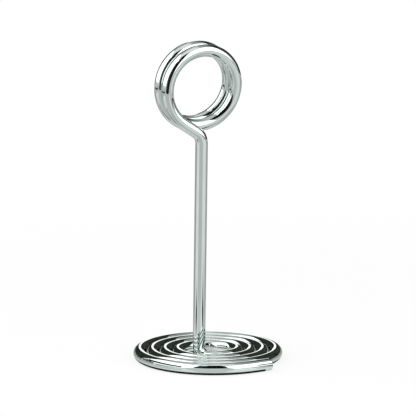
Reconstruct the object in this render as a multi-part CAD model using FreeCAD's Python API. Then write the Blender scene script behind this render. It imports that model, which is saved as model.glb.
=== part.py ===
"""Table number stand: one plated wire, bent into a flat spiral foot, an upright stem and a double ring.

The wire is followed from the middle of the foot outwards to its cut end at the front,
and from the same bend up the stem, round the neck and twice round the ring.
A card stands in the gap between the ring's two turns.
Millimetres and degrees. The foot rests on Z = 0 and the ring faces -Y.
"""
import FreeCAD, Part
import math
import os
from FreeCAD import Vector

os.makedirs("parts", exist_ok=True)

# Wire
wire_diameter = 3.9
end_break = 0.3

# Spiral foot, seen from above, winding outwards counter-clockwise
foot_turns = 4
foot_turn_gap = 0.1
foot_hole_reach = 6.55
foot_inner_arc_inside_radius = 5.0
foot_inner_arc_sweep = 139.0
foot_last_arc_sweep = 96.0
foot_straight_end_length = 6.2

# Stem
foot_bend_inside_radius = 0.55
stem_length = 71.0
stem_lean_sideways = -1.0
stem_lean_forward = 3.9

# Neck and ring
neck_bend_inside_radius = 2.1
neck_rise_angle = 34.0
ring_inside_radius = 10.25
ring_turns = 1.98
ring_centre_offset = 0.7
card_gap = 1.3

wire_radius = wire_diameter / 2
foot_pitch = wire_diameter + foot_turn_gap
ring_pitch = wire_diameter + card_gap
foot_inner_arc_radius = foot_inner_arc_inside_radius + wire_radius
foot_bend_radius = foot_bend_inside_radius + wire_radius
neck_bend_radius = neck_bend_inside_radius + wire_radius
ring_radius = ring_inside_radius + wire_radius

# The half-turn arcs of the foot have two centres, half a pitch apart along X.
# With these two places the outline of the whole foot is centred on the origin.
back_arc_centre = Vector(0, foot_pitch / 4, wire_radius)
front_arc_centre = Vector(foot_pitch / 2, foot_pitch / 4, wire_radius)

# The ring's plane leans with the stem. Its normal points away from the reader of the card.
lean_forward = math.radians(stem_lean_forward)
lean_sideways = math.radians(stem_lean_sideways)
ring_right = Vector(1, 0, 0)
ring_back = Vector(0, math.cos(lean_forward), math.sin(lean_forward))
ring_up = ring_right.cross(ring_back)
stem_direction = ring_up * math.cos(lean_sideways) + ring_right * math.sin(lean_sideways)


def level_point(centre, radius, angle):
    """Point of a level arc, with the angle in degrees from +X."""
    turn = math.radians(angle)
    return centre + Vector(radius * math.cos(turn), radius * math.sin(turn), 0)


def level_direction(angle):
    """Direction of travel of a counter-clockwise level arc at that angle."""
    turn = math.radians(angle)
    return Vector(-math.sin(turn), math.cos(turn), 0)


def wire_section(point, direction):
    """Round cross-section of the wire, as a face square to its direction."""
    return Part.Face(Part.Wire(Part.makeCircle(wire_radius, point, direction)))


def straight_wire(start, end):
    return Part.makeCylinder(wire_radius, (end - start).Length, start, end - start)


def level_arc_wire(centre, radius, start_angle, sweep):
    start = level_point(centre, radius, start_angle)
    section = wire_section(start, level_direction(start_angle))
    return section.revolve(centre, Vector(0, 0, 1), sweep)


def bend_wire(corner, direction_in, direction_out, radius):
    """Bend whose two tangents meet at the corner. Returns its solid, start point and end point."""
    turn = direction_in.getAngle(direction_out)
    tangent_length = radius * math.tan(turn / 2)
    start = corner - direction_in * tangent_length
    end = corner + direction_out * tangent_length
    axis = direction_in.cross(direction_out).normalize()
    centre = start + axis.cross(direction_in) * radius
    solid = wire_section(start, direction_in).revolve(centre, axis, math.degrees(turn))
    return solid, start, end


def cut_end(point, direction):
    """Short cone that breaks the sharp edge of a cut end."""
    return Part.makeCone(wire_radius, wire_radius - end_break, end_break, point, direction)


def make_foot():
    """Spiral from the inner arc to the cut end. Returns its solids and the inner end of the wire."""
    reach = foot_hole_reach + wire_radius
    hole_right = foot_pitch / 4 + reach
    inner_centre = Vector(hole_right - foot_inner_arc_radius, foot_pitch / 4, wire_radius)
    solids = [level_arc_wire(inner_centre, foot_inner_arc_radius, -foot_inner_arc_sweep, foot_inner_arc_sweep)]
    arc_radius = hole_right
    for half_turn in range(2 * foot_turns - 1):
        at_back = half_turn % 2 == 0
        centre = back_arc_centre if at_back else front_arc_centre
        solids.append(level_arc_wire(centre, arc_radius, 0 if at_back else 180, 180))
        arc_radius += foot_pitch / 2
    solids.append(level_arc_wire(front_arc_centre, arc_radius, 180, foot_last_arc_sweep))
    end_angle = 180 + foot_last_arc_sweep
    straight_start = level_point(front_arc_centre, arc_radius, end_angle)
    outward = level_direction(end_angle)
    tip = straight_start + outward * (foot_straight_end_length - end_break)
    solids.append(straight_wire(straight_start, tip))
    solids.append(cut_end(tip, outward))
    inner_point = level_point(inner_centre, foot_inner_arc_radius, -foot_inner_arc_sweep)
    inner_direction = level_direction(-foot_inner_arc_sweep) * -1
    return solids, inner_point, inner_direction


def make_ring(start, travel, radial):
    """Helix of the ring from its start point, with the cut end. The radial direction points outwards."""
    centre = start - radial * ring_radius
    helix = Part.makeHelix(ring_pitch, ring_pitch * ring_turns, ring_radius)
    sweep = helix.makePipeShell([Part.Wire(Part.makeCircle(
        wire_radius,
        Vector(ring_radius, 0, 0),
        Vector(0, ring_radius, ring_pitch / (2 * math.pi)),
    ))], True, True)
    last = 2 * math.pi * ring_turns
    tip = Vector(ring_radius * math.cos(last), ring_radius * math.sin(last), ring_pitch * ring_turns)
    tip_direction = Vector(-math.sin(last), math.cos(last), ring_pitch / (2 * math.pi * ring_radius))
    solids = [sweep, cut_end(tip, tip_direction)]
    rotation = FreeCAD.Rotation(radial, travel, ring_back, "ZXY")
    for solid in solids:
        solid.Placement = FreeCAD.Placement(centre, rotation)
    return solids


def make_stand():
    """The whole bent wire as one solid."""
    solids, foot_point, foot_direction = make_foot()

    foot_turn = foot_direction.getAngle(stem_direction)
    foot_corner = foot_point + foot_direction * (foot_bend_radius * math.tan(foot_turn / 2))
    foot_bend, _, stem_start = bend_wire(foot_corner, foot_direction, stem_direction, foot_bend_radius)
    solids.append(foot_bend)

    # The neck runs straight up to the ring along its tangent, so its length sets the ring's centre.
    rise = math.radians(neck_rise_angle)
    ring_travel = ring_up * math.sin(rise) - ring_right * math.cos(rise)
    ring_radial = ring_right * -math.sin(rise) - ring_up * math.cos(rise)
    neck_direction = ring_travel * ring_radius + ring_back * (ring_pitch / (2 * math.pi))
    neck_direction.normalize()
    neck_corner = foot_corner + stem_direction * stem_length
    neck_length = (ring_radius * math.sin(rise) - ring_centre_offset) / math.cos(rise)
    ring_start = neck_corner + neck_direction * neck_length
    neck_bend, stem_end, neck_end = bend_wire(neck_corner, stem_direction, neck_direction, neck_bend_radius)
    solids.append(straight_wire(stem_start, stem_end))
    solids.append(neck_bend)
    solids.append(straight_wire(neck_end, ring_start))
    solids.extend(make_ring(ring_start, ring_travel, ring_radial))

    return solids[0].multiFuse(solids[1:])


stand = make_stand()
print("solids", len(stand.Solids), "faces", len(stand.Faces), "valid", stand.isValid())
print("volume", round(stand.Volume, 2), "box", stand.BoundBox)
stand.exportStep("parts/bent_wire.step")
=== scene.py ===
# %% [markdown]
# # A table number stand bent from one bright wire
# The real thing is a single length of steel wire, bent cold and then chrome plated.
# A flat spiral makes the foot, the wire turns up beside its middle to make the stem,
# and two turns of a helix make the ring that grips the card.
# Chrome has almost no colour of its own: what the eye reads as chrome is the room,
# pressed into bands that run along the wire. So this lesson has two halves.
# The first makes a wire whose bends are smooth enough to carry those bands.
# The second builds the small studio that they mirror.

# %% Load the frame
import math

import bmesh
import bpy
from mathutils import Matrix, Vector


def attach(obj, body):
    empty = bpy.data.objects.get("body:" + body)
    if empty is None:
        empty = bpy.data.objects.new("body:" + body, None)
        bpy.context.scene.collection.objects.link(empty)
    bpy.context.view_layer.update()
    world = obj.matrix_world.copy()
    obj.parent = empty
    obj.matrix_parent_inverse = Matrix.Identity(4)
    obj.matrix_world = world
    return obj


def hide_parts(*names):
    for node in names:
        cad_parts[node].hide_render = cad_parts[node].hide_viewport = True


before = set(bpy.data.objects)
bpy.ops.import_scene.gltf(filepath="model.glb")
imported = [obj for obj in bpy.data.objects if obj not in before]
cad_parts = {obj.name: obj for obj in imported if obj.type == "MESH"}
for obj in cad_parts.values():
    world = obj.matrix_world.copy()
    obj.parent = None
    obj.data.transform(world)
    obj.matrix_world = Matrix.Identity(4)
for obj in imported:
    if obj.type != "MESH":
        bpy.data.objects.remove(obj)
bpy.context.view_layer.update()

# %% [markdown]
# ## The sizes that the bender works to
# A wire former is set up with a handful of numbers: the wire's gauge, the inside radius of
# each bend, how far each bend turns, and the straight lengths between them.
# Everything below is worked out from those numbers, in metres.
# Inside radii are used because that is what the forming pins set.

# %% Wire sizes
MM = 0.001

WIRE_DIAMETER = 3.9 * MM
WIRE_RADIUS = WIRE_DIAMETER / 2
CUT_EDGE_ROUNDING = 0.3 * MM

FOOT_TURNS = 4
FOOT_TURN_GAP = 0.1 * MM
FOOT_HOLE_REACH = 6.55 * MM
FOOT_INNER_ARC_INSIDE = 5.0 * MM
FOOT_INNER_ARC_SWEEP = math.radians(139.0)
FOOT_LAST_ARC_SWEEP = math.radians(96.0)
FOOT_STRAIGHT_END = 6.2 * MM

FOOT_BEND_INSIDE = 0.55 * MM
STEM_LENGTH = 71.0 * MM
STEM_LEAN_SIDEWAYS = math.radians(-1.0)
STEM_LEAN_FORWARD = math.radians(3.9)

NECK_BEND_INSIDE = 2.1 * MM
NECK_RISE = math.radians(34.0)
RING_INSIDE = 10.25 * MM
RING_TURNS = 1.98
RING_CENTRE_OFFSET = 0.7 * MM
CARD_GAP = 1.3 * MM

FOOT_PITCH = WIRE_DIAMETER + FOOT_TURN_GAP
RING_PITCH = WIRE_DIAMETER + CARD_GAP
print(f"foot pitch {FOOT_PITCH / MM:.2f} mm, ring pitch {RING_PITCH / MM:.2f} mm")

# %% [markdown]
# ## The centre line
# The line down the middle of the wire is made of three kinds of piece: level arcs for the foot,
# a bend where two straight runs meet, and a helix for the ring.
# Each function gives evenly spaced points, so the mesh that follows has even faces.
# The foot is a spiral of half-turn arcs about two centres, half a pitch apart.
# That is how a spiral is laid out with a compass, and it keeps every turn the same distance from the next.

# %% Points along arcs, bends and straight runs
POINT_STEP = 0.3 * MM


def steps_for(length):
    return max(2, math.ceil(length / POINT_STEP))


def along_line(start, end):
    count = steps_for((end - start).length)
    return [start.lerp(end, i / count) for i in range(count + 1)]


def along_level_arc(centre, radius, start_angle, sweep):
    """Counter-clockwise arc in a level plane, seen from above."""
    count = steps_for(radius * sweep)
    angles = [start_angle + sweep * i / count for i in range(count + 1)]
    return [centre + Vector((radius * math.cos(a), radius * math.sin(a), 0)) for a in angles]


def along_bend(corner, way_in, way_out, radius):
    """Arc that rounds the corner between two directions."""
    turn = way_in.angle(way_out)
    start = corner - way_in * radius * math.tan(turn / 2)
    towards_centre = (way_out - way_in * way_in.dot(way_out)).normalized()
    centre = start + towards_centre * radius
    count = steps_for(radius * turn)
    arc = []
    for i in range(count + 1):
        angle = turn * i / count
        arc.append(centre + (way_in * math.sin(angle) - towards_centre * math.cos(angle)) * radius)
    return arc


print("points every", POINT_STEP / MM, "mm")

# %% The spiral foot
def foot_line():
    """From the inner end of the foot, outwards to the cut end."""
    back_centre = Vector((0, FOOT_PITCH / 4, WIRE_RADIUS))
    front_centre = Vector((FOOT_PITCH / 2, FOOT_PITCH / 4, WIRE_RADIUS))
    inner_radius = FOOT_INNER_ARC_INSIDE + WIRE_RADIUS
    arc_radius = FOOT_PITCH / 4 + FOOT_HOLE_REACH + WIRE_RADIUS
    inner_centre = Vector((arc_radius - inner_radius, FOOT_PITCH / 4, WIRE_RADIUS))
    pieces = [along_level_arc(inner_centre, inner_radius, -FOOT_INNER_ARC_SWEEP, FOOT_INNER_ARC_SWEEP)]
    for half_turn in range(2 * FOOT_TURNS - 1):
        if half_turn % 2 == 0:
            pieces.append(along_level_arc(back_centre, arc_radius, 0, math.pi))
        else:
            pieces.append(along_level_arc(front_centre, arc_radius, math.pi, math.pi))
        arc_radius += FOOT_PITCH / 2
    pieces.append(along_level_arc(front_centre, arc_radius, math.pi, FOOT_LAST_ARC_SWEEP))
    end_angle = math.pi + FOOT_LAST_ARC_SWEEP
    outwards = Vector((-math.sin(end_angle), math.cos(end_angle), 0))
    straight_start = pieces[-1][-1]
    pieces.append(along_line(straight_start, straight_start + outwards * FOOT_STRAIGHT_END))
    inwards = Vector((-math.sin(FOOT_INNER_ARC_SWEEP), -math.cos(FOOT_INNER_ARC_SWEEP), 0))
    return pieces, inwards


foot_pieces, foot_inwards = foot_line()
print("foot arcs:", len(foot_pieces), "inner end at", foot_pieces[0][0])

# %% [markdown]
# ## The stem, the neck and the ring
# The ring's plane leans forward with the stem, so three directions are set up first: to the ring's
# right, to its back and up along it. The neck runs straight up to the ring along the helix's own
# direction, so the wire has no kink where the ring starts.

# %% The stem, neck and ring
RING_RIGHT = Vector((1, 0, 0))
RING_BACK = Vector((0, math.cos(STEM_LEAN_FORWARD), math.sin(STEM_LEAN_FORWARD)))
RING_UP = RING_RIGHT.cross(RING_BACK)
STEM_UP = RING_UP * math.cos(STEM_LEAN_SIDEWAYS) + RING_RIGHT * math.sin(STEM_LEAN_SIDEWAYS)
RING_RADIUS = RING_INSIDE + WIRE_RADIUS
RING_RISE_PER_RADIAN = RING_PITCH / (2 * math.pi)


def along_ring(centre, outwards, travel):
    """Helix about the centre. It starts on the outwards side and sets off in the direction of travel."""
    whole_angle = 2 * math.pi * RING_TURNS
    count = steps_for(RING_RADIUS * whole_angle)
    ring = []
    for i in range(count + 1):
        angle = whole_angle * i / count
        radial = outwards * math.cos(angle) + travel * math.sin(angle)
        ring.append(centre + radial * RING_RADIUS + RING_BACK * RING_RISE_PER_RADIAN * angle)
    return ring


def upright_line(foot_point):
    """From the foot's inner end, up the stem and twice round the ring."""
    foot_bend_radius = FOOT_BEND_INSIDE + WIRE_RADIUS
    foot_turn = foot_inwards.angle(STEM_UP)
    foot_corner = foot_point + foot_inwards * foot_bend_radius * math.tan(foot_turn / 2)
    foot_bend = along_bend(foot_corner, foot_inwards, STEM_UP, foot_bend_radius)

    travel = RING_UP * math.sin(NECK_RISE) - RING_RIGHT * math.cos(NECK_RISE)
    outwards = RING_RIGHT * -math.sin(NECK_RISE) - RING_UP * math.cos(NECK_RISE)
    neck_way = (travel * RING_RADIUS + RING_BACK * RING_RISE_PER_RADIAN).normalized()
    neck_corner = foot_corner + STEM_UP * STEM_LENGTH
    neck_length = (RING_RADIUS * math.sin(NECK_RISE) - RING_CENTRE_OFFSET) / math.cos(NECK_RISE)
    ring_start = neck_corner + neck_way * neck_length
    neck_bend = along_bend(neck_corner, STEM_UP, neck_way, NECK_BEND_INSIDE + WIRE_RADIUS)

    stem = along_line(foot_bend[-1], neck_bend[0])
    neck = along_line(neck_bend[-1], ring_start)
    ring = along_ring(ring_start - outwards * RING_RADIUS, outwards, travel)
    return [foot_bend, stem, neck_bend, neck, ring]


upright_pieces = upright_line(foot_pieces[0][0])
print("ring starts at", upright_pieces[-1][0])

# %% [markdown]
# ## One even line, with the bends eased in
# Joined end to end, the pieces meet without a corner, but the curve changes at once from straight
# to round. On a mirror finish that shows as a kink in every reflection.
# Real wire eases into a bend over about its own thickness.
# So the joined line is sampled at even steps and each point is moved a little towards
# the middle of its neighbours, several times. The foot stays level because its points already are.

# %% Join, sample and ease
SAME_POINT_WITHIN = POINT_STEP * 0.01
EASING_PASSES = 12


def joined(pieces):
    points = [pieces[0][0]]
    for piece in pieces:
        points.extend(p for p in piece[1:] if (p - points[-1]).length > SAME_POINT_WITHIN)
    return points


def evenly_spaced(points):
    lengths = [0.0]
    for a, b in zip(points, points[1:]):
        lengths.append(lengths[-1] + (b - a).length)
    count = round(lengths[-1] / POINT_STEP)
    even, k = [], 0
    for i in range(count + 1):
        wanted = lengths[-1] * i / count
        while k < len(lengths) - 2 and lengths[k + 1] < wanted:
            k += 1
        share = (wanted - lengths[k]) / (lengths[k + 1] - lengths[k])
        even.append(points[k].lerp(points[k + 1], share))
    return even


def eased(points):
    for _ in range(EASING_PASSES):
        inner = [(a + b * 2 + c) / 4 for a, b, c in zip(points, points[1:], points[2:])]
        points = [points[0], *inner, points[-1]]
    return points


foot_points = joined(foot_pieces)[::-1]
wire_points = eased(evenly_spaced(joined([foot_points, *upright_pieces])))
wire_length = sum((b - a).length for a, b in zip(wire_points, wire_points[1:]))
print(f"{len(wire_points)} points, wire length {wire_length / MM:.1f} mm")

# %% [markdown]
# ## The cut ends
# Each end is cropped square in a shear and its edge is broken by tumbling before plating.
# A curve in Blender has a radius at every point, so the rounded edge needs no extra mesh:
# the last few points sit close together and their radius falls off along a quarter circle.

# %% The line as a curve, with rounded ends
ROUNDING_STEPS = 5
POINTS_REPLACED = 2


def end_rounding(tip, neighbour):
    """Points and radii that round the cut edge, from full thickness to the flat of the cut."""
    outwards = (tip - neighbour).normalized()
    rounding = []
    for i in range(ROUNDING_STEPS + 1):
        angle = math.pi / 2 * i / ROUNDING_STEPS
        point = tip - outwards * CUT_EDGE_ROUNDING * (1 - math.sin(angle))
        radius = 1 - CUT_EDGE_ROUNDING / WIRE_RADIUS * (1 - math.cos(angle))
        rounding.append((point, radius))
    return rounding


def wire_curve(points):
    stations = end_rounding(points[0], points[1])[::-1]
    stations += [(p, 1.0) for p in points[POINTS_REPLACED:-POINTS_REPLACED]]
    stations += end_rounding(points[-1], points[-2])
    curve = bpy.data.curves.new("wire_line", "CURVE")
    curve.dimensions = "3D"
    curve.twist_mode = "MINIMUM"
    spline = curve.splines.new("POLY")
    spline.points.add(len(stations) - 1)
    for slot, (point, radius) in zip(spline.points, stations):
        slot.co = (*point, 1)
        slot.radius = radius
    line = bpy.data.objects.new("wire_line", curve)
    bpy.context.scene.collection.objects.link(line)
    return line


wire_line = wire_curve(wire_points)
print("curve points:", len(wire_line.data.splines[0].points))

# %% [markdown]
# ## From line to wire, with Geometry Nodes
# Sweeping a circle along a line is what a drawing die does to a rod, and Curve to Mesh does it here.
# The tree has named inputs for the wire's radius and the facets round it.
# It also stores where each point lies along the wire and round it, because the fine lines
# that the die leaves follow the wire, and a pattern in plain object coordinates would cut across the bends.

# %% The drawing tree
FACETS_ROUND = 36


def tree_input(tree, name, kind):
    return tree.interface.new_socket(name, in_out="INPUT", socket_type=kind)


def stored(tree, geometry, name, kind, value):
    """Keep a value under a name on every point of the geometry."""
    keep = tree.nodes.new("GeometryNodeStoreNamedAttribute")
    keep.data_type = kind
    keep.inputs["Name"].default_value = name
    tree.links.new(geometry, keep.inputs["Geometry"])
    tree.links.new(value, keep.inputs["Value"])
    return keep.outputs["Geometry"]


def drawing_tree(finish):
    tree = bpy.data.node_groups.new("draw_wire", "GeometryNodeTree")
    tree_input(tree, "Line", "NodeSocketGeometry")
    radius_input = tree_input(tree, "Wire radius", "NodeSocketFloat")
    facets_input = tree_input(tree, "Facets round the wire", "NodeSocketInt")
    tree.interface.new_socket("Wire", in_out="OUTPUT", socket_type="NodeSocketGeometry")
    nodes, links = tree.nodes, tree.links
    inputs = nodes.new("NodeGroupInput")
    outputs = nodes.new("NodeGroupOutput")

    place_along = nodes.new("GeometryNodeSplineParameter").outputs["Length"]
    line = stored(tree, inputs.outputs["Line"], "along", "FLOAT", place_along)

    circle = nodes.new("GeometryNodeCurvePrimitiveCircle")
    links.new(inputs.outputs["Wire radius"], circle.inputs["Radius"])
    links.new(inputs.outputs["Facets round the wire"], circle.inputs["Resolution"])
    place_round = nodes.new("GeometryNodeInputPosition").outputs["Position"]
    section = stored(tree, circle.outputs["Curve"], "round", "FLOAT_VECTOR", place_round)

    sweep = nodes.new("GeometryNodeCurveToMesh")
    sweep.inputs["Fill Caps"].default_value = True
    point_radius = nodes.new("GeometryNodeInputRadius")
    links.new(line, sweep.inputs["Curve"])
    links.new(section, sweep.inputs["Profile Curve"])
    links.new(point_radius.outputs["Radius"], sweep.inputs["Scale"])

    smooth = nodes.new("GeometryNodeSetShadeSmooth")
    real = nodes.new("GeometryNodeRealizeInstances")
    plate = nodes.new("GeometryNodeSetMaterial")
    plate.inputs["Material"].default_value = finish
    links.new(sweep.outputs["Mesh"], smooth.inputs["Geometry"])
    links.new(smooth.outputs["Geometry"], real.inputs["Geometry"])
    links.new(real.outputs["Geometry"], plate.inputs["Geometry"])
    links.new(plate.outputs["Geometry"], outputs.inputs["Wire"])
    return tree, radius_input.identifier, facets_input.identifier


print("facets round the wire:", FACETS_ROUND)

# %% [markdown]
# ## Bright plating
# Chrome over nickel reflects about two thirds of the light that meets it, with a trace of green-grey.
# It is nearly a perfect mirror, so the finish is in small departures from one: a slight ripple where
# the plating is thicker, faint lines left by the drawing die, and a duller patch where
# the forming pins pressed. Each is a noise texture, stretched along the wire by its stored coordinates.

# %% Shader helpers
NOISE_LOW = 0.3
NOISE_HIGH = 0.7


def new_material(name):
    material = bpy.data.materials.new(name)
    material.use_nodes = True
    material.node_tree.nodes.clear()
    return material, material.node_tree.nodes, material.node_tree.links


def show(nodes, links, shader):
    """Make the shader the one that the surface has."""
    output = nodes.new("ShaderNodeOutputMaterial")
    links.new(shader, output.inputs["Surface"])


def stretched_noise(nodes, links, place, across, along, detail):
    """Noise with its own number of features per metre round the wire and along it."""
    mapping = nodes.new("ShaderNodeMapping")
    mapping.inputs["Scale"].default_value = (along, across, across)
    noise = nodes.new("ShaderNodeTexNoise")
    noise.inputs["Scale"].default_value = 1.0
    noise.inputs["Detail"].default_value = detail
    links.new(place, mapping.inputs["Vector"])
    links.new(mapping.outputs["Vector"], noise.inputs["Vector"])
    return noise.outputs["Fac"]


def bumped(nodes, links, height, distance, strength, below=None):
    """Relief from a height, on top of the relief below it if there is any."""
    bump = nodes.new("ShaderNodeBump")
    bump.inputs["Distance"].default_value = distance
    bump.inputs["Strength"].default_value = strength
    links.new(height, bump.inputs["Height"])
    if below is not None:
        links.new(below, bump.inputs["Normal"])
    return bump.outputs["Normal"]


def in_range(nodes, links, value, low, high):
    """Spread the middle of a noise value over a range."""
    spread = nodes.new("ShaderNodeMapRange")
    spread.inputs["From Min"].default_value = NOISE_LOW
    spread.inputs["From Max"].default_value = NOISE_HIGH
    spread.inputs["To Min"].default_value = low
    spread.inputs["To Max"].default_value = high
    links.new(value, spread.inputs["Value"])
    return spread.outputs["Result"]


print("noise is used from", NOISE_LOW, "to", NOISE_HIGH)

# %% The plated wire
CHROME = (0.645, 0.705, 0.685, 1)
CHROME_THIN = (0.615, 0.67, 0.65, 1)

RIPPLES_ROUND = 260
RIPPLES_ALONG = 130
RIPPLE_HEIGHT = 0.02 * MM
DRAWN_LINES_ROUND = 5200
DRAWN_LINES_ALONG = 70
DRAWN_LINE_HEIGHT = 0.001 * MM
THICKNESS_ROUND = 500
THICKNESS_ALONG = 220
ROUGHNESS_SMOOTHEST = 0.035
ROUGHNESS_DULLEST = 0.075
ROUGHNESS_FROM_FORMING = 0.10


def bright_plating():
    material, nodes, links = new_material("bright_plating")
    wire_place = nodes.new("ShaderNodeAttribute")
    wire_place.attribute_name = "wire_place"
    place = wire_place.outputs["Vector"]
    formed = nodes.new("ShaderNodeAttribute")
    formed.attribute_name = "formed"

    ripple = stretched_noise(nodes, links, place, RIPPLES_ROUND, RIPPLES_ALONG, detail=1)
    drawn = stretched_noise(nodes, links, place, DRAWN_LINES_ROUND, DRAWN_LINES_ALONG, detail=2)
    thickness = stretched_noise(nodes, links, place, THICKNESS_ROUND, THICKNESS_ALONG, detail=3)

    tint = nodes.new("ShaderNodeMix")
    tint.data_type = "RGBA"
    tint.inputs["A"].default_value = CHROME_THIN
    tint.inputs["B"].default_value = CHROME
    links.new(in_range(nodes, links, thickness, 0, 1), tint.inputs["Factor"])

    dulled = nodes.new("ShaderNodeMath")
    dulled.operation = "MULTIPLY_ADD"
    dulled.inputs[1].default_value = ROUGHNESS_FROM_FORMING
    links.new(formed.outputs["Fac"], dulled.inputs[0])
    links.new(in_range(nodes, links, drawn, ROUGHNESS_SMOOTHEST, ROUGHNESS_DULLEST), dulled.inputs[2])

    shader = nodes.new("ShaderNodeBsdfPrincipled")
    shader.inputs["Metallic"].default_value = 1.0
    links.new(tint.outputs["Result"], shader.inputs["Base Color"])
    links.new(dulled.outputs["Value"], shader.inputs["Roughness"])
    rippled = bumped(nodes, links, ripple, RIPPLE_HEIGHT, strength=0.6)
    lined = bumped(nodes, links, drawn, DRAWN_LINE_HEIGHT, strength=0.3, below=rippled)
    links.new(lined, shader.inputs["Normal"])
    show(nodes, links, shader.outputs["BSDF"])
    return material


plating = bright_plating()
print("material:", plating.name)

# %% [markdown]
# ## The cropped faces
# The shear leaves a torn, slightly grainy face, and the plating over it stays duller than on the
# drawn side of the wire. It lies flat across the wire, so plain object coordinates suit its noise.

# %% The cropped faces
TORN_GRAIN_FINE = 1800
TORN_GRAIN_COARSE = 700
TORN_GRAIN_HEIGHT = 0.05 * MM
TORN_SMOOTHEST = 0.16
TORN_DULLEST = 0.34


def sheared_end():
    material, nodes, links = new_material("sheared_end")
    place = nodes.new("ShaderNodeTexCoord").outputs["Object"]
    torn = stretched_noise(nodes, links, place, TORN_GRAIN_FINE, TORN_GRAIN_COARSE, detail=4)
    shader = nodes.new("ShaderNodeBsdfPrincipled")
    shader.inputs["Metallic"].default_value = 1.0
    shader.inputs["Base Color"].default_value = CHROME_THIN
    links.new(in_range(nodes, links, torn, TORN_SMOOTHEST, TORN_DULLEST), shader.inputs["Roughness"])
    links.new(bumped(nodes, links, torn, TORN_GRAIN_HEIGHT, strength=0.7), shader.inputs["Normal"])
    show(nodes, links, shader.outputs["BSDF"])
    return material


end_finish = sheared_end()
print("material:", end_finish.name)

# %% [markdown]
# ## Drawing the wire
# The tree runs on the curve once. Its result is copied out as a plain mesh, and the curve and
# its modifier are removed, so that what is left is one ordinary piece.

# %% Draw the wire
def drawn_mesh(line):
    tree, radius_key, facets_key = drawing_tree(plating)
    modifier = line.modifiers.new("draw_wire", "NODES")
    modifier.node_group = tree
    modifier[radius_key] = WIRE_RADIUS
    modifier[facets_key] = FACETS_ROUND
    depsgraph = bpy.context.evaluated_depsgraph_get()
    mesh = bpy.data.meshes.new_from_object(line.evaluated_get(depsgraph))
    line.modifiers.remove(modifier)
    bpy.data.objects.remove(line)
    mesh.name = "wire"
    return mesh


wire_mesh = drawn_mesh(wire_line)
print("wire faces:", len(wire_mesh.polygons), "attributes:", [a.name for a in wire_mesh.attributes])

# %% [markdown]
# ## What the bender leaves behind
# Two attributes are worked out for each vertex. The first joins the stored distances into one
# place on the wire's own surface, for the noise textures. The second says how hard the wire was
# formed there: it is one at the two tight bends and fades to nothing along the straight stem.

# %% Vertex attributes
FORMED_REACH = 3.0 * MM


def length_of(pieces):
    return sum((b - a).length for piece in pieces for a, b in zip(piece, piece[1:]))


foot_length = length_of(foot_pieces)
foot_bend_at = foot_length + length_of(upright_pieces[:1]) / 2
neck_bend_at = foot_length + length_of(upright_pieces[:2]) + length_of(upright_pieces[2:3]) / 2


def mark_surface(mesh):
    along = [0.0] * len(mesh.vertices)
    around = [0.0] * (3 * len(mesh.vertices))
    mesh.attributes["along"].data.foreach_get("value", along)
    mesh.attributes["round"].data.foreach_get("vector", around)
    place, formed = [], []
    for i, distance in enumerate(along):
        place.extend((distance, around[3 * i], around[3 * i + 1]))
        nearest = min(abs(distance - foot_bend_at), abs(distance - neck_bend_at))
        formed.append(math.exp(-(nearest / FORMED_REACH) ** 2))
    mesh.attributes.new("wire_place", "FLOAT_VECTOR", "POINT").data.foreach_set("vector", place)
    mesh.attributes.new("formed", "FLOAT", "POINT").data.foreach_set("value", formed)
    for name in ("along", "round"):
        mesh.attributes.remove(mesh.attributes[name])


mark_surface(wire_mesh)
print(f"bends at {foot_bend_at / MM:.1f} mm and {neck_bend_at / MM:.1f} mm along the wire")

# %% The cut faces
def mark_cut_faces(mesh):
    """Give the two faces with many corners the sheared finish and a sharp edge."""
    mesh.materials.clear()
    mesh.materials.append(plating)
    mesh.materials.append(end_finish)
    build = bmesh.new()
    build.from_mesh(mesh)
    cuts = [face for face in build.faces if len(face.verts) > 4]
    for face in cuts:
        face.material_index = 1
        face.smooth = False
        for edge in face.edges:
            edge.smooth = False
    build.to_mesh(mesh)
    build.free()
    return len(cuts)


print("cut faces:", mark_cut_faces(wire_mesh))

# %% [markdown]
# ## The wire in the frame
# The frame has a plain copy of the same wire. The finished one rides on the frame's root body
# in its place.

# %% The finished wire takes the place of the plain one
bright_wire = bpy.data.objects.new("bright_wire", wire_mesh)
bpy.context.scene.collection.objects.link(bright_wire)
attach(bright_wire, "root")
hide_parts("bent_wire")
print("wire box in mm:", [round(v / MM, 2) for v in bright_wire.dimensions])

# %% [markdown]
# ## The table
# The wire stands on a smooth white sheet, the kind that catalogue pictures are taken on.
# To the camera it is paper white, with a small share of plain diffuse white that keeps the soft shadow.
# The mirror finish sees more of it: a sheet with a slight gloss that shows the cards beyond it,
# under a painted pool of light that is nearly white at the foot and light grey further out.
# The grey lines down the stem come from there.
# The white that the mirror finish sees is given off by the sheet, so its image stays free of noise.
# It has no shadow of its own, and a dark strip under the foot stands in for the shadow there.

# %% What the sheet looks like
PAPER_WHITE = (0.95, 0.95, 0.95, 1)
SHADOW_SHARE = 0.20
SHADOW_FADES_FROM = 0.08
SHADOW_FADES_TO = 0.30

SHEET_TINT = (0.985, 1.0, 0.985, 1)
# Painted pool of light: the white that the sheet gives off is brighter at the foot than further out.
SHEET_PAINTED_LIGHT_AT_FOOT = 0.88
SHEET_FURTHER_OUT = 0.66
SHEET_DIMS_FROM = 0.032
SHEET_DIMS_TO = 0.080
SHEET_GLOSS_IOR = 2.0
SHEET_GLOSS_ROUGHNESS = 0.10


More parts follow.
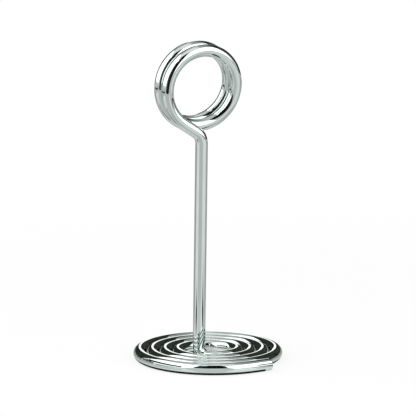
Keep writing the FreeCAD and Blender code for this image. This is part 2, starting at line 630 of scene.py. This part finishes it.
def by_distance(nodes, links, near, near_value, far, far_value):
    """Value that changes smoothly between two distances from the middle of the sheet."""
    place = nodes.new("ShaderNodeTexCoord")
    distance = nodes.new("ShaderNodeVectorMath")
    distance.operation = "LENGTH"
    links.new(place.outputs["Object"], distance.inputs[0])
    fade = nodes.new("ShaderNodeMapRange")
    fade.interpolation_type = "SMOOTHSTEP"
    fade.inputs["From Min"].default_value = near
    fade.inputs["From Max"].default_value = far
    fade.inputs["To Min"].default_value = near_value
    fade.inputs["To Max"].default_value = far_value
    links.new(distance.outputs["Value"], fade.inputs["Value"])
    return fade.outputs["Result"]


def mixed(nodes, links, share, first, second):
    """Shader that goes from the first to the second as the share goes from nothing to one."""
    mix = nodes.new("ShaderNodeMixShader")
    links.new(share, mix.inputs["Fac"])
    links.new(first, mix.inputs[1])
    links.new(second, mix.inputs[2])
    return mix.outputs["Shader"]


def sheet_in_mirrors(nodes, links):
    """White with a painted pool of light, brightest at the foot and dimmer away from it, under a clear
    gloss.
    """
    white = nodes.new("ShaderNodeEmission")
    white.inputs["Color"].default_value = SHEET_TINT
    # Painted light: the sheet gives off more white close to the foot than further out.
    brightness = by_distance(nodes, links, SHEET_DIMS_FROM, SHEET_PAINTED_LIGHT_AT_FOOT, SHEET_DIMS_TO, SHEET_FURTHER_OUT)
    links.new(brightness, white.inputs["Strength"])
    gloss = nodes.new("ShaderNodeBsdfAnisotropic")
    gloss.inputs["Roughness"].default_value = SHEET_GLOSS_ROUGHNESS
    grazing = nodes.new("ShaderNodeFresnel")
    grazing.inputs["IOR"].default_value = SHEET_GLOSS_IOR
    return mixed(nodes, links, grazing.outputs["Fac"], white.outputs["Emission"], gloss.outputs["BSDF"])


def sheet_in_camera(nodes, links):
    """Full white that takes on a share of real paper, with its shadow, close to the stand."""
    lit = nodes.new("ShaderNodeEmission")
    paper = nodes.new("ShaderNodeBsdfDiffuse")
    paper.inputs["Color"].default_value = PAPER_WHITE
    share = by_distance(nodes, links, SHADOW_FADES_FROM, SHADOW_SHARE, SHADOW_FADES_TO, 0.0)
    return mixed(nodes, links, share, lit.outputs["Emission"], paper.outputs["BSDF"])


def white_sheet():
    material, nodes, links = new_material("white_sheet")
    path = nodes.new("ShaderNodeLightPath")
    in_mirrors = sheet_in_mirrors(nodes, links)
    in_camera = sheet_in_camera(nodes, links)
    show(nodes, links, mixed(nodes, links, path.outputs["Is Camera Ray"], in_mirrors, in_camera))
    return material


sheet_finish = white_sheet()
print("material:", sheet_finish.name)

# %% The table
TABLE_SIZE = 6.0


def studio_piece(name, corners, faces, material):
    """Piece of the studio, which isn't part of the stand."""
    mesh = bpy.data.meshes.new(name)
    mesh.from_pydata(corners, [], faces)
    mesh.materials.append(material)
    piece = bpy.data.objects.new(name, mesh)
    bpy.context.scene.collection.objects.link(piece)
    return piece


def rectangle(name, corners, material):
    return studio_piece(name, corners, [(0, 1, 2, 3)], material)


half = TABLE_SIZE / 2
rectangle("table", [(-half, -half, 0), (half, -half, 0), (half, half, 0), (-half, half, 0)], sheet_finish)
print("table:", TABLE_SIZE, "m each way")

# %% [markdown]
# ## The room
# The world is white to the camera and to the mirror finish, and a plain pale grey to everything else.
# So the background is white without more light on the black cards and on the paper's shadow.

# %% World
WORLD_LIGHT = 0.53


def larger(nodes, links, first, second):
    maximum = nodes.new("ShaderNodeMath")
    maximum.operation = "MAXIMUM"
    links.new(first, maximum.inputs[0])
    links.new(second, maximum.inputs[1])
    return maximum.outputs["Value"]


def seen_directly(nodes, links):
    """One where a camera, mirror or glass ray looks at the room, zero for scattered light."""
    path = nodes.new("ShaderNodeLightPath")
    in_view = larger(nodes, links, path.outputs["Is Camera Ray"], path.outputs["Is Glossy Ray"])
    return larger(nodes, links, in_view, path.outputs["Is Transmission Ray"])


def white_room():
    world = bpy.data.worlds.new("white_room")
    world.use_nodes = True
    nodes, links = world.node_tree.nodes, world.node_tree.links
    nodes.clear()
    background = nodes.new("ShaderNodeBackground")
    strength = nodes.new("ShaderNodeMapRange")
    strength.inputs["To Min"].default_value = WORLD_LIGHT
    strength.inputs["To Max"].default_value = 1.0
    links.new(seen_directly(nodes, links), strength.inputs["Value"])
    links.new(strength.outputs["Result"], background.inputs["Strength"])
    output = nodes.new("ShaderNodeOutputWorld")
    links.new(background.outputs["Background"], output.inputs["Surface"])
    bpy.context.scene.world = world


white_room()
print("world:", bpy.context.scene.world.name)

# %% [markdown]
# ## Cards
# A photographer gives chrome its depth with black cards: without them it looks like grey plastic.
# Some stand behind the object and some slope away from it like the dark underside of a lamp's box.
# Their lower edges stay clear of the table, so the underside of every bend still mirrors the white sheet.
# Two small dark patches lie on the table beside the foot, seen only in the mirror finish, and make the
# short dark streaks low on the stem.
# Behind the stand, high up, paper screens that glow grey give the top of the ring its soft middle tone.
# Directions are given as seen from above, in degrees from the camera, with the right-hand side positive.

# %% Directions from the camera
CAMERA_AZIMUTH = -25.0
CAMERA_ELEVATION = 13.0
CAMERA_DISTANCE = 1.625
FOOT_MIDDLE = Vector((FOOT_PITCH / 4, FOOT_PITCH / 4, WIRE_RADIUS))
UP = Vector((0, 0, 1))


def direction(from_camera, elevation=0.0):
    azimuth = math.radians(CAMERA_AZIMUTH + from_camera)
    rise = math.radians(elevation)
    return Vector((math.sin(azimuth) * math.cos(rise), -math.cos(azimuth) * math.cos(rise), math.sin(rise)))


print("towards the camera:", direction(0, CAMERA_ELEVATION))

# %% Velvet and lit paper
CARD_PATCHES = 7.0
CARD_DARKEST = 0.4
CARD_LIGHTEST = 1.7


def card_finish(name, colour):
    """Cloth that is a little lighter and darker in patches, as velvet is where its pile lies over."""
    material, nodes, links = new_material(name)
    place = nodes.new("ShaderNodeTexCoord")
    pile = nodes.new("ShaderNodeTexNoise")
    pile.inputs["Scale"].default_value = CARD_PATCHES
    links.new(place.outputs["Object"], pile.inputs["Vector"])
    shade = nodes.new("ShaderNodeMix")
    shade.data_type = "RGBA"
    shade.inputs["A"].default_value = (*(c * CARD_DARKEST for c in colour), 1)
    shade.inputs["B"].default_value = (*(c * CARD_LIGHTEST for c in colour), 1)
    links.new(in_range(nodes, links, pile.outputs["Fac"], 0, 1), shade.inputs["Factor"])
    velvet = nodes.new("ShaderNodeBsdfDiffuse")
    links.new(shade.outputs["Result"], velvet.inputs["Color"])
    show(nodes, links, velvet.outputs["BSDF"])
    return material


def glowing_paper(name, colour):
    """Paper screen that gives off its own even grey light, painted light with no lamp behind it, so it
    looks equally bright from every side.
    """
    material, nodes, links = new_material(name)
    # Painted light: the screen glows by emission, although it is no lamp.
    glow = nodes.new("ShaderNodeEmission")
    glow.inputs["Color"].default_value = (*colour, 1)
    show(nodes, links, glow.outputs["Emission"])
    return material


black = card_finish("black_velvet", (0.016, 0.022, 0.021))
charcoal = card_finish("charcoal_velvet", (0.036, 0.041, 0.035))
slate = card_finish("slate_velvet", (0.055, 0.055, 0.090))
grey_screen = glowing_paper("grey_screen", (0.40, 0.42, 0.41))
pale_screen = glowing_paper("pale_screen", (0.58, 0.60, 0.59))
print("card materials:", [m.name for m in (black, charcoal, slate, grey_screen, pale_screen)])

# %% Kinds of card
CARD_LIFT = 0.4 * MM
STRIP_LIFT = 0.05 * MM


def only_in_mirrors(piece):
    piece.visible_camera = False
    piece.visible_shadow = False
    piece.visible_diffuse = False


def card(name, finish, places):
    """Flat card through corners given as side, distance and height. Only the mirror finish sees it."""
    corners = [direction(side) * distance + UP * height for side, distance, height in places]
    only_in_mirrors(rectangle(name, corners, finish))


def standing_card(name, finish, sides, distance, heights):
    """Upright card between two sides and two heights."""
    (left, right), (bottom, top) = sides, heights
    corners = ((left, bottom), (right, bottom), (right, top), (left, top))
    card(name, finish, [(side, distance, height) for side, height in corners])


def sloping_card(name, finish, sides, near, far):
    """Card that slopes away from the stand. Each of its two edges has a distance and a height."""
    left, right = sides
    card(name, finish, [(left, *near), (right, *near), (right, *far), (left, *far)])


def table_card(name, finish, sides, near, widest, far):
    """Card with four corners that lies on the table and points away from the stand."""
    left, right = sides
    middle = (left + right) / 2
    corners = ((middle, near), (right, widest), (middle, far), (left, widest))
    card(name, finish, [(side, distance, CARD_LIFT) for side, distance in corners])


def strip_card(name, finish, line, reach):
    """Strip on the table that follows a line and reaches equally far to both sides of it."""
    corners = []
    for before, point, after in zip(line, line[1:], line[2:]):
        across = (after - before).cross(UP).normalized() * reach
        corners += [(p.x, p.y, STRIP_LIFT) for p in (point + across, point - across)]
    faces = [(k, k + 1, k + 3, k + 2) for k in range(0, len(corners) - 2, 2)]
    only_in_mirrors(studio_piece(name, corners, faces, finish))


print("cards lie", CARD_LIFT / MM, "mm above the table, the strip", STRIP_LIFT / MM, "mm")

# %% The cards in their places
STRIP_PAST_WIRE = 0.12 * MM
STRIP_POINT_EVERY = 4

sloping_card("camera_card", black, (-15, 20), near=(0.070, 0.205), far=(0.180, 0.058))
sloping_card("camera_card_edge", slate, (-28, -15), near=(0.112, 0.205), far=(0.180, 0.060))
standing_card("left_back_card", charcoal, (-174, -122), distance=0.80, heights=(0.020, 0.75))
standing_card("right_back_card", charcoal, (104, 177), distance=0.80, heights=(0.020, 0.88))
standing_card("gap_card", grey_screen, (175, 188), distance=0.79, heights=(0.50, 0.95))
sloping_card("left_low_card", black, (-110, -45), near=(0.135, 0.0765), far=(0.240, 0.0560))
sloping_card("left_side_card", charcoal, (-118, -92), near=(0.240, 0.0560), far=(0.500, 0.0240))
sloping_card("right_low_card", black, (60, 104), near=(0.150, 0.0735), far=(0.240, 0.0575))
table_card("left_table_card", black, (-70, -46), near=0.030, widest=0.055, far=0.095)
table_card("right_table_card", black, (42, 72), near=0.026, widest=0.050, far=0.110)
foot_strip_line = joined(foot_pieces)[::STRIP_POINT_EVERY]
strip_card("foot_shadow", black, foot_strip_line, WIRE_RADIUS + STRIP_PAST_WIRE)

back_screens = (
    ((85, 130), grey_screen),
    ((130, 176), grey_screen),
    ((-176, -143), pale_screen),
    ((-143, -110), pale_screen),
)
for number, (sides, screen) in enumerate(back_screens):
    sloping_card(f"back_screen_{number}", screen, sides, near=(0.32, 1.10), far=(0.90, 0.98))
print("strip corners:", 2 * (len(foot_strip_line) - 2), "back screens:", len(back_screens))

# %% [markdown]
# ## Lamps
# Wide soft lamps fill the gaps between the cards and give the white bands their clean edges.
# A small one behind the stand shines through the gap between the two cards there.
# Each is set by how bright its face looks in a mirror, because on chrome that is what is seen.

# %% Lamps
def soft_lamp(name, place, size, brightness):
    """Rectangular lamp that faces the stand. Brightness is how bright its face looks in a mirror."""
    width, height = size
    data = bpy.data.lights.new(name, "AREA")
    data.shape = "RECTANGLE"
    data.size = width
    data.size_y = height
    data.energy = brightness * math.pi * width * height
    lamp = bpy.data.objects.new(name, data)
    bpy.context.scene.collection.objects.link(lamp)
    lamp.location = place
    lamp.rotation_euler = (-place).to_track_quat("-Z", "Y").to_euler()
    lamp.visible_camera = False
    print(f"{name}: {data.energy:.2f} W")


soft_lamp("left_lamp", direction(-76) * 0.60 + UP * 0.50, size=(1.20, 0.90), brightness=1.5)
soft_lamp("right_lamp", direction(58) * 0.70 + UP * 0.46, size=(1.00, 0.85), brightness=1.5)
soft_lamp("top_lamp", UP * 1.3, size=(0.9, 0.9), brightness=0.3)
soft_lamp("gap_lamp", direction(181) * 0.9 + UP * 0.24, size=(0.36, 0.46), brightness=0.6)

# %% [markdown]
# ## The camera
# A long lens from about a metre and a half away, slightly above the stand, as for a catalogue picture.
# It looks a little past the middle of the foot, so its heading and tilt are set by themselves.

# %% Camera
CAMERA_HEADING = math.radians(-24.966)
CAMERA_TILT = math.radians(-11.405)
CAMERA_SEES_TO = 20
SENSOR_WIDTH = 36
FRAME_PIXELS = 416
FOCAL_PIXELS = 5180

camera_data = bpy.data.cameras.new("camera")
camera_data.sensor_width = SENSOR_WIDTH
camera_data.lens = SENSOR_WIDTH * FOCAL_PIXELS / FRAME_PIXELS
camera_data.clip_end = CAMERA_SEES_TO
camera = bpy.data.objects.new("camera", camera_data)
bpy.context.scene.collection.objects.link(camera)
camera.location = FOOT_MIDDLE + direction(0, CAMERA_ELEVATION) * CAMERA_DISTANCE
camera.rotation_euler = (math.pi / 2 + CAMERA_TILT, 0, CAMERA_HEADING)
bpy.context.scene.camera = camera
bpy.context.scene.view_settings.view_transform = "Standard"
print(f"lens {camera_data.lens:.0f} mm")
